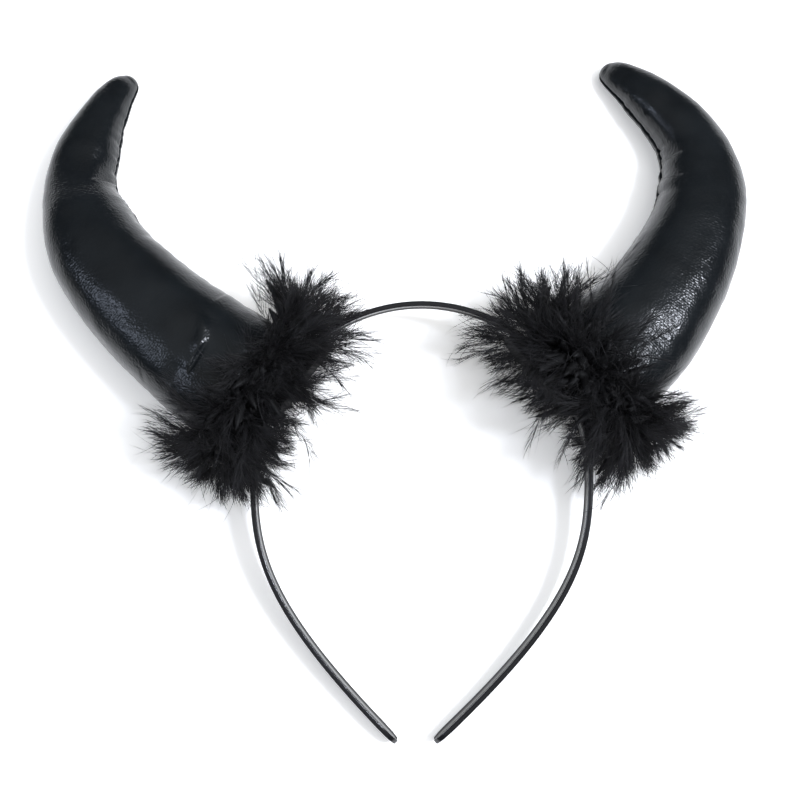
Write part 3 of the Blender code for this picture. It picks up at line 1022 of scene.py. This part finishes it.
    def build(self, leather: bpy.types.Material) -> bpy.types.Object:
        """Makes the skin of both panels in one mesh, with its seams, puckers and creases.

        Args:
            leather: The horn's material.

        Returns:
            The horn, which replaces its panels and its fill.
        """
        spots = np.linspace(0.0, self.skin_end, self.stations)
        turns = np.linspace(0.0, 2 * math.pi, self.columns, endpoint=False)
        along, angle = np.meshgrid(spots, turns, indexing="ij")
        points = self.surface(along, angle)
        lengthwise = np.gradient(points, axis=0)
        round_it = np.roll(points, -1, axis=1) - np.roll(points, 1, axis=1)
        normal = unit(np.cross(lengthwise, round_it)) * self.side.value
        centre = points.mean(axis=1, keepdims=True)
        if ((points - centre) * normal).sum() < 0:
            normal = -normal
        points = points + normal * self.relief(along, angle, points)[..., None]
        drop = np.minimum(self.dents(along, angle), 0.45 * self.depth(along))
        points[..., 2] -= drop
        points[..., 2] = np.maximum(points[..., 2], 0.02 * MM)
        points = self.close_ends(points, turns)
        rows, columns = points.shape[:2]
        run = np.concatenate((
            np.zeros(self.base_rings), spots, np.full(self.tip_rings, self.skin_end)
        )) * self.length / MM
        radius = (self.outer(np.clip(run * MM / self.length, 0, 1))) / MM
        along_mm = np.repeat(run[:, None], columns, axis=1)
        round_mm = radius[:, None] * turns[None, :]
        off_seam = np.minimum(np.minimum(turns, np.abs(turns - math.pi)), 2 * math.pi - turns)
        seam_mm = radius[:, None] * off_seam[None, :]
        faces = tube_faces(rows, columns)
        piece = mesh_piece(
            f"{self.side.word}_horn_skin", points.reshape(-1, 3), faces, leather,
            {"along_mm": along_mm, "round_mm": round_mm, "seam_mm": seam_mm},
        )
        word = self.side.word
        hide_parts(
            f"{word}_horn_front_panel", f"{word}_horn_back_panel", f"{word}_horn_stuffing"
        )
        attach(piece, "root")
        return piece

    def close_ends(self, points: Array, turns: Array) -> Array:
        """Adds the gathered base and the rounded tip to the rings of the skin.

        Args:
            points: The skin's rings.
            turns: The angle of each column.

        Returns:
            The rings with those of the ends before and after them.
        """
        base_centre = points[0].mean(axis=0)
        base = []
        for share in np.linspace(0.04, 0.985, self.base_rings):
            pleats = np.cos(self.gathers * turns + self.seed)
            gather = 1 + self.gather_depth * pleats * (1 - share)
            ring = base_centre + (points[0] - base_centre) * (share * gather)[:, None]
            heading = float(self.heading(0.0))
            axis = np.array((self.side.value * math.cos(heading), math.sin(heading), 0.0))
            base.append(ring + axis * self.base_dome_mm * MM * (1 - share ** 6))
        tip_centre = points[-1].mean(axis=0)
        heading = float(self.heading(self.skin_end))
        axis = np.array((self.side.value * math.cos(heading), math.sin(heading), 0.0))
        step_back = 0.004
        narrowing = float(self.outer(self.skin_end - step_back) - self.outer(self.skin_end))
        slope = math.atan(narrowing / (step_back * self.length))
        radius = float(self.outer(self.skin_end)) / math.cos(slope)
        tip = []
        for step in range(1, self.tip_rings + 1):
            turn = slope + (math.pi / 2 - slope) * step / (self.tip_rings + 0.3)
            ring = tip_centre + (points[-1] - tip_centre) * math.cos(turn) / math.cos(slope)
            tip.append(ring + axis * radius * (math.sin(turn) - math.sin(slope)))
        return np.concatenate((np.array(base), points, np.array(tip)))


@dataclass
class BasePad:
    """A felt patch glued on the head side of the band, under a horn."""

    side: Side
    band: AliceBand
    angle: float
    length: float = 35.0 * MM
    height: float = 25.0 * MM
    thickness: float = 2.6 * MM
    corner: float = 4.0 * MM
    edge: float = 0.5 * MM

    @property
    def reach(self) -> float:
        """How far its outer face stands from the arch's centre."""
        inside = self.band.half_width - self.band.thickness - CLEARANCE
        return math.sqrt(inside ** 2 - (self.length / 2) ** 2)

    def hides(self, points: Array, margin: float) -> Array:
        """Which points lie in the pad, or between it and the band."""
        _, out, tangent = self.band.seat(self.side, self.angle)
        away = points - self.band.centre
        deep = away @ out
        return (
            (np.abs(away @ self.band.normal) < self.height / 2 + margin)
            & (np.abs(away @ tangent) < self.length / 2 + margin)
            & (deep > self.reach - self.thickness - margin)
            & (deep < self.band.half_width)
        )

    def build(self, felt: bpy.types.Material) -> bpy.types.Object:
        """Cuts the patch with round corners and soft, slightly uneven edges.

        Args:
            felt: The pad's material.

        Returns:
            The pad, which replaces its solid.
        """
        seat, out, tangent = self.band.seat(self.side, self.angle)
        turns = np.linspace(0.0, 2 * math.pi, 96, endpoint=False)
        straight = np.array((self.length / 2 - self.corner, self.height / 2 - self.corner))
        face = self.reach - self.band.half_width
        rings = []
        layers = (
            (face, 0.35), (face, 0.8), (face, 1.0), (face - self.edge, 1.0),
            (face - self.thickness + self.edge, 1.0), (face - self.thickness, 1.0),
            (face - self.thickness, 0.8), (face - self.thickness, 0.35),
        )
        for number, (depth, share) in enumerate(layers):
            inset = self.edge if number in (2, 5) else 0.0
            corner = self.corner - inset
            along = np.sign(np.cos(turns)) * straight[0] + corner * np.cos(turns)
            rise = np.sign(np.sin(turns)) * straight[1] + corner * np.sin(turns)
            points = (
                seat + out * depth
                + tangent * (along * share)[:, None] + self.band.normal * (rise * share)[:, None]
            )
            rings.append(points)
        points = np.array(rings)
        wander = field_noise(points, 3 * MM, 2.0)[..., None] * 0.12 * MM
        points = points + tangent * wander + self.band.normal * wander
        faces = tube_faces(*points.shape[:2])
        piece = mesh_piece(f"{self.side.word}_felt_pad", points.reshape(-1, 3), faces, felt)
        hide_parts(f"{self.side.word}_base_pad")
        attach(piece, "root")
        return piece


# How far the plumes fan out, in degrees: the turn round the horn from the outer seam, the
# widest lean towards the horn's tip there and the widest lean towards the head.
LEFT_LEANS = (
    (0, 78, 80), (45, 68, 86), (80, 18, 80), (130, -8, 56), (158, 34, 50), (180, 64, 46),
)
RIGHT_LEANS = (
    (0, 66, 86), (45, 46, 86), (80, 62, 82), (130, 70, 76), (158, 74, 70), (180, 76, 60),
)


@dataclass
class MarabouTrim:
    """A ring of marabou: plumes tied to a cord, each a shaft with clumping barbs."""

    horn: Horn
    band: AliceBand
    pad: BasePad
    seed: int
    leans: tuple[tuple[float, float, float], ...]
    plumes: int = 440
    barbs: int = 44
    barb_points: int = 6
    wisps: int = 1500
    length: float = 21.0 * MM
    barb_length: float = 11.0 * MM
    barb_width: float = 0.18 * MM
    cord_gap: float = 0.6 * MM
    cord_thickness: float = 2.2 * MM
    cord_sides: int = 64
    shaft_points: int = 9
    tufts: int = 420
    tuft_share: float = 0.55
    tuft_girth: float = 1.9 * MM
    tuft_sides: int = 5

    def build(self, feather: bpy.types.Material) -> list[bpy.types.Object]:
        """Makes the cord with its short under-down, and the long plumes.

        Args:
            feather: The trim's material.

        Returns:
            The pieces; the first replaces the solid.
        """
        chooser = np.random.default_rng(self.seed)
        word = self.horn.side.word
        core = self.build_core(chooser, feather, f"{word}_marabou_down")
        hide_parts(f"{word}_feather_trim")
        pieces = [core] + self.build_plumes(chooser, feather, f"{word}_marabou")
        for piece in pieces:
            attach(piece, "root")
        return pieces

    def roots(self, chooser: np.random.Generator, count: int) -> tuple[Array, ...]:
        """Places plumes round the cord.

        Args:
            chooser: Source of the random draws.
            count: How many plumes.

        Returns:
            Root points, outward directions, axis directions, leans off the outward direction
            and lengths as shares.
        """
        golden = (math.sqrt(5) - 1) / 2
        angle = 2 * math.pi * ((np.arange(count) * golden + chooser.uniform(0, 0.01, count)) % 1.0)
        spread = chooser.uniform(-1.0, 1.0, count)
        spread = np.sign(spread) * np.abs(spread) ** 0.6
        point, out, axis = self.horn.frame(angle, spread * 0.4 * self.horn.cord_width)
        low_end = np.maximum(np.cos(angle), 0.0)
        turn = np.degrees(np.arccos(np.clip(np.cos(angle), -1.0, 1.0)))
        turns, to_horn, to_head = zip(*self.leans)
        share = 0.5 + 0.5 * spread
        lean = np.interp(turn, turns, to_horn) * share - np.interp(turn, turns, to_head) * (1 - share)
        lean = lean + chooser.normal(0, 8, count)
        lean = np.radians(lean)
        size = 1 - 0.45 * low_end * np.cos(lean) ** 2
        return point + out * (self.cord_gap + 0.5 * self.cord_thickness), out, axis, lean, size

    def shafts(self, chooser: np.random.Generator, count: int, scale: float) -> Array:
        """Curved shafts of plumes.

        Args:
            chooser: Source of the random draws.
            count: How many.
            scale: Their length as a share of the full one.

        Returns:
            Points by plume and step along it.
        """
        root, out, axis, lean, share = self.roots(chooser, count)
        direction = out * np.cos(lean)[:, None] + axis * np.sin(lean)[:, None]
        sideways = np.cross(axis, out)
        size = self.length * scale * share * chooser.uniform(0.62, 1.15, count)
        low = np.clip((0.2 - out[:, 2]) / 1.2, 0.0, 1.0)
        size = size * (1 - 0.45 * low)
        bend = (
            sideways * chooser.normal(0, 0.42, count)[:, None]
            + axis * chooser.normal(0, 0.36, count)[:, None]
            + np.array((0.0, 0.0, -0.16))
        )
        t = np.linspace(0.0, 1.0, self.shaft_points)[None, :, None]
        path = root[:, None] + size[:, None, None] * (direction[:, None] * t + bend[:, None] * t * t)
        return path

    def build_core(
        self, chooser: np.random.Generator, feather: bpy.types.Material, name: str
    ) -> bpy.types.Object:
        """The cord and the close under-down that hides it: short tapered tufts."""
        shafts = self.shafts(chooser, self.tufts, self.tuft_share)
        ahead = unit(np.gradient(shafts, axis=1))
        aside = unit(np.cross(ahead, np.array((0.31, 0.17, 0.93))))
        third = np.cross(ahead, aside)
        t = np.linspace(0.0, 1.0, shafts.shape[1])
        bulge = np.sin(math.pi * np.clip(0.12 + 0.86 * t, 0, 1)) ** 0.8
        girth = self.tuft_girth * bulge + 0.05 * MM
        rings = []
        for step in range(self.tuft_sides):
            turn = 2 * math.pi * step / self.tuft_sides
            rings.append(
                shafts + (aside * math.cos(turn) + third * math.sin(turn)) * girth[None, :, None]
            )
        tufts = np.stack(rings, axis=2)
        tufts[..., 2] = np.maximum(tufts[..., 2], 0.35 * MM)
        blocked = self.blocked(tufts.reshape(len(shafts), -1, 3))
        tufts = tufts[~blocked]
        count, steps, columns = tufts.shape[:3]
        faces = copied_faces(grid_faces(steps, columns, wrap=True), count, steps * columns)
        ends = []
        for number in range(count):
            start = number * steps * columns
            ends.append(list(range(start, start + columns)))
            ends.append(list(range(start + (steps - 1) * columns, start + steps * columns)))
        cord_points, cord_faces = self.cord()
        offset = count * steps * columns
        points = np.concatenate((tufts.reshape(-1, 3), cord_points))
        listed = faces.tolist() + ends + (cord_faces + offset).tolist()
        # The close down keeps the root colour throughout: painted shade deep in the mass.
        to_tip = np.zeros(len(points))
        return mesh_piece(name, points, listed, feather, {"to_tip": to_tip})

    def cord(self) -> tuple[Array, Array]:
        """Points and faces of the cord round the horn's base."""
        profile = ((-0.5, 0.35), (-0.3, 0.0), (0.3, 0.0), (0.5, 0.35), (0.25, 1.0), (-0.25, 1.0))
        turns = np.linspace(0.0, 2 * math.pi, self.cord_sides, endpoint=False)
        rings = []
        for across, share in profile:
            places = np.full(self.cord_sides, across * self.horn.cord_width)
            point, out, _ = self.horn.frame(turns, places)
            rings.append(point + out * (self.cord_gap + share * self.cord_thickness))
        points = np.stack(rings, axis=1)
        closed = np.concatenate((points, points[:1]))
        faces = grid_faces(len(closed), len(profile), wrap=True) % (self.cord_sides * len(profile))
        return points.reshape(-1, 3), faces

    def blocked(self, points: Array) -> Array:
        """Which strands run into the band or the pad."""
        inside = self.band.hides(points, 0.1 * MM) | self.pad.hides(points, 0.1 * MM)
        return inside.any(axis=1)

    def build_plumes(
        self, chooser: np.random.Generator, feather: bpy.types.Material, name: str
    ) -> list[bpy.types.Object]:
        """The plumes' barbs, which sweep towards the tips in locks, and a few stray ones."""
        count = self.plumes
        shafts = self.shafts(chooser, count, 1.0)
        ahead = unit(np.gradient(shafts, axis=1))
        vane = unit(np.cross(ahead[:, 0], chooser.normal(0, 1, (count, 3))))
        end_point = shafts[:, -1]
        s = np.linspace(0.0, 1.0, self.barb_points)[None, :, None]
        strands = []
        for barb in range(self.barbs):
            where = (barb + chooser.uniform(0, 1, count)) / self.barbs
            where = 0.12 + 0.88 * where ** 0.8
            root, along = self.station(shafts, ahead, where)
            side = vane * (-1) ** barb + chooser.normal(0, 0.32, (count, 3))
            fan = np.radians(46 - 30 * where + chooser.normal(0, 7, count))[:, None]
            heading = unit(along * np.cos(fan) + unit(side) * np.sin(fan))
            size = self.barb_length * chooser.uniform(0.6, 1.25, count)[:, None]
            size = size * (1.05 - 0.4 * where[:, None])
            middle = root + heading * size * 0.55
            loose = chooser.normal(0, 0.18, (count, 3)) * size
            end = root + heading * size * 0.7 + along * size * 0.45 + loose
            pull = 0.45 * smooth_step((where[:, None] - 0.35) / 0.6)
            gather = end_point + ahead[:, -1] * 4.0 * MM + chooser.normal(0, 1.6 * MM, (count, 3))
            end = end * (1 - pull) + gather * pull
            end[:, 2] -= 0.08 * size[:, 0]
            path = (
                (1 - s) ** 2 * root[:, None] + 2 * (1 - s) * s * middle[:, None]
                + s * s * end[:, None]
            )
            strands.append(path)
        stray = self.stray(chooser, shafts, ahead)
        return [
            self.ribbons(f"{name}_plumes", np.concatenate(strands), chooser, feather),
            self.ribbons(f"{name}_wisps", stray, chooser, feather),
        ]

    @staticmethod
    def station(shafts: Array, ahead: Array, where: Array) -> tuple[Array, Array]:
        """The point and the direction of each shaft at a share of its length."""
        index = where * (shafts.shape[1] - 1)
        low = np.clip(index.astype(int), 0, shafts.shape[1] - 2)
        part = (index - low)[:, None]
        rows = np.arange(len(shafts))
        point = shafts[rows, low] * (1 - part) + shafts[rows, low + 1] * part
        return point, ahead[rows, low]

    def stray(self, chooser: np.random.Generator, shafts: Array, ahead: Array) -> Array:
        """Single long barbs that curl out of the plumes.

        Args:
            chooser: Source of the random draws.
            shafts: Points by plume and step.
            ahead: The directions there.

        Returns:
            Points by strand and step.
        """
        pick = chooser.integers(0, len(shafts), self.wisps)
        where = chooser.uniform(0.45, 1.0, self.wisps)
        root, along = self.station(shafts[pick], ahead[pick], where)
        heading = unit(along + chooser.normal(0, 0.42, (self.wisps, 3)))
        curl = unit(np.cross(heading, chooser.normal(0, 1, (self.wisps, 3))))
        size = self.barb_length * chooser.uniform(0.5, 1.35, self.wisps)[:, None]
        bend = chooser.normal(0, 0.55, self.wisps)[:, None]
        s = np.linspace(0.0, 1.0, 2 * self.barb_points - 1)[None, :, None]
        first = root + heading * size * 0.4
        second = root + heading * size * 0.75 + curl * size * bend * 0.45
        end = root + heading * size * 0.95 + curl * size * bend
        return cubic(s, root[:, None], first[:, None], second[:, None], end[:, None])

    def ribbons(
        self, name: str, paths: Array, chooser: np.random.Generator, feather: bpy.types.Material
    ) -> bpy.types.Object:
        """Turns strands to thin tapering ribbons in one mesh.

        Args:
            name: The piece's name.
            paths: Points by strand and step.
            chooser: Source of the random draws.
            feather: The piece's material.

        Returns:
            The new object.
        """
        paths[..., 2] = np.maximum(paths[..., 2], 0.4 * MM)
        paths = paths[~self.blocked(paths)]
        count, steps = paths.shape[:2]
        ahead = unit(np.gradient(paths, axis=1))
        aside = unit(np.cross(ahead, chooser.normal(0, 1, (count, 1, 3)) + np.zeros((1, steps, 1))))
        t = np.linspace(0.0, 1.0, steps)
        width = self.barb_width * (0.75 + 0.25 * np.sin(math.pi * t)) * (1 - 0.8 * t ** 3) / 2
        left = paths + aside * width[None, :, None]
        right = paths - aside * width[None, :, None]
        points = np.stack((left, right), axis=2)
        faces = copied_faces(grid_faces(steps, 2), count, steps * 2)
        # Painted shade: each strand goes from the dark root colour to the paler tip colour.
        to_tip = np.broadcast_to(t[None, :, None], points.shape[:3])
        LOG.info("%s: %d strands", name, count)
        return mesh_piece(
            name, points.reshape(-1, 3), faces, feather, {"to_tip": to_tip}, closed=False
        )


@dataclass(frozen=True)
class SidePlan:
    """What sets one side apart: its horn, where horn and pad sit in degrees, and its feathers."""

    side: Side
    sections: tuple[Section, ...]
    creases: tuple[Crease, ...]
    folds: tuple[Fold, ...]
    troughs: tuple[Trough, ...]
    seat: float
    length: float
    pad_seat: float
    seed: int
    leans: tuple[tuple[float, float, float], ...]


PLANS = (
    SidePlan(
        Side.LEFT, LEFT_SECTIONS, LEFT_CREASES, LEFT_FOLDS, (),
        seat=25.5, length=156.1 * MM, pad_seat=36.5, seed=3, leans=LEFT_LEANS,
    ),
    SidePlan(
        Side.RIGHT, RIGHT_SECTIONS, RIGHT_CREASES, RIGHT_FOLDS, RIGHT_TROUGHS,
        seat=28.0, length=152.6 * MM, pad_seat=39.0, seed=8, leans=RIGHT_LEANS,
    ),
)


@dataclass(frozen=True)
class Softbox:
    """A rectangular light that faces the headband.

    It stands at an azimuth from +X, anticlockwise, and an elevation over the table, in degrees,
    and at a distance in metres. Its size is in metres and its power in watts.
    """

    name: str
    azimuth: float
    elevation: float
    distance: float
    size: tuple[float, float]
    power: float
    tint: str = "#ffffff"
    mirrored: bool = True

    def build(self, aim: Vector) -> None:
        """Adds the light to the scene.

        Args:
            aim: The point that it faces.
        """
        lamp = bpy.data.lights.new(self.name, "AREA")
        lamp.shape = "RECTANGLE"
        lamp.size, lamp.size_y = self.size
        lamp.energy = self.power
        lamp.color = linear(self.tint)[:3]
        holder = bpy.data.objects.new(self.name, lamp)
        turn, rise = math.radians(self.azimuth), math.radians(self.elevation)
        flat = math.cos(rise)
        offset = Vector((flat * math.cos(turn), flat * math.sin(turn), math.sin(rise)))
        holder.location = aim + offset * self.distance
        holder.rotation_euler = (-offset).to_track_quat("-Z", "Y").to_euler()
        holder.visible_glossy = self.mirrored
        bpy.context.scene.collection.objects.link(holder)


SOFTBOXES = (
    Softbox("overhead_scrim", 15, 62, 2.0, (2.0, 2.0), 37.0, mirrored=False),
    Softbox("right_softbox", 0, 60, 1.3, (0.14, 0.23), 13.0, "#eef3ff"),
    Softbox("left_softbox", 185, 41, 1.3, (0.26, 0.50), 2.6, "#dce8ff"),
)


@dataclass
class Studio:
    """The white table, the soft lights and the camera over it."""

    pixel_mm: float = 0.35
    frame_pixels: int = 800
    distance_mm: float = 442
    target: tuple[float, float, float] = (-7.5 * MM, 25.0 * MM, 17.0 * MM)
    tilt: float = math.radians(8.5)
    table_half: float = 6.0
    room: str = "#f9fbfb"
    room_glow: float = 0.45

    def build(self, arch_centre: Array) -> None:
        """Sets the table, the lights, the camera and the colour management.

        Args:
            arch_centre: The middle of the band's arch, which the aim is measured from.
        """
        aim = Vector((
            arch_centre[0] + self.target[0], arch_centre[1] + self.target[1], self.target[2]
        ))
        self.table(aim)
        for softbox in SOFTBOXES:
            softbox.build(aim)
        self.room_light()
        self.camera(aim)
        scene = bpy.context.scene
        scene.view_settings.view_transform = "Standard"
        scene.view_settings.look = "None"
        scene.view_settings.exposure = 0.0

    def table(self, aim: Vector) -> None:
        """The table's top, far wider than the view."""
        half = self.table_half
        points = np.array([(-half, -half, 0), (half, -half, 0), (half, half, 0), (-half, half, 0)])
        table = mesh_piece("table", points, [(0, 1, 2, 3)], WhiteTable().make(), closed=False)
        table.location = (aim.x, aim.y, -0.05 * MM)

    def room_light(self) -> None:
        """A pale room: bright haze at the table's edge and a soft ceiling."""
        world = bpy.data.worlds.new("pale_room")
        world.use_nodes = True
        tree = world.node_tree
        back = tree.nodes["Background"]
        way = add_node(tree, "ShaderNodeTexCoord").outputs["Generated"]
        height = add_node(tree, "ShaderNodeSeparateXYZ", {}, {"Vector": way}).outputs["Z"]
        glow = add_node(tree, "ShaderNodeMath", {"operation": "ADD"}, {
            "0": ranged(tree, height, (self.room_glow, 0.0), (0.02, 0.26)),
            "1": ranged(tree, height, (0.0, self.room_glow), (0.5, 0.98)),
        })
        back.inputs["Color"].default_value = linear(self.room)
        tree.links.new(glow.outputs["Value"], back.inputs["Strength"])
        bpy.context.scene.world = world

    def camera(self, aim: Vector) -> None:
        """The camera above the table, tilted a little towards the tips."""
        lens = bpy.data.cameras.new("camera")
        lens.sensor_fit = "HORIZONTAL"
        focal_pixels = self.distance_mm / self.pixel_mm
        lens.angle = 2 * math.atan(self.frame_pixels / 2 / focal_pixels)
        lens.clip_start = 0.01
        holder = bpy.data.objects.new("camera", lens)
        back = Vector((0.0, -math.sin(self.tilt), math.cos(self.tilt)))
        right = Vector((1.0, 0.0, 0.0))
        up = back.cross(right)
        turn = Matrix((right, up, back)).transposed().to_4x4()
        distance = self.distance_mm * MM
        holder.matrix_world = Matrix.Translation(aim + back * distance) @ turn
        bpy.context.scene.collection.objects.link(holder)
        bpy.context.scene.camera = holder


def main() -> None:
    """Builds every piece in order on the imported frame, and the studio round it."""
    logging.basicConfig(level=logging.INFO, format="%(name)s: %(message)s")
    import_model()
    leather = FauxLeather().make()
    felt = Felt().make()
    feather = Marabou().make()
    band = AliceBand()
    pieces = [band.build(MouldedPlastic().make())]
    for plan in PLANS:
        horn = Horn(
            plan.side, band, plan.sections, plan.creases, plan.folds, plan.troughs,
            math.radians(plan.seat), plan.seed, plan.length,
        )
        pieces.append(horn.build(leather))
        pad = BasePad(plan.side, band, math.radians(plan.pad_seat))
        pieces.append(pad.build(felt))
        pieces += MarabouTrim(horn, band, pad, plan.seed, plan.leans).build(feather)
    for piece in pieces:
        LOG.info("%s: %d faces", piece.name, len(piece.data.polygons))
    Studio().build(band.centre)


if __name__ == "__main__":
    main()
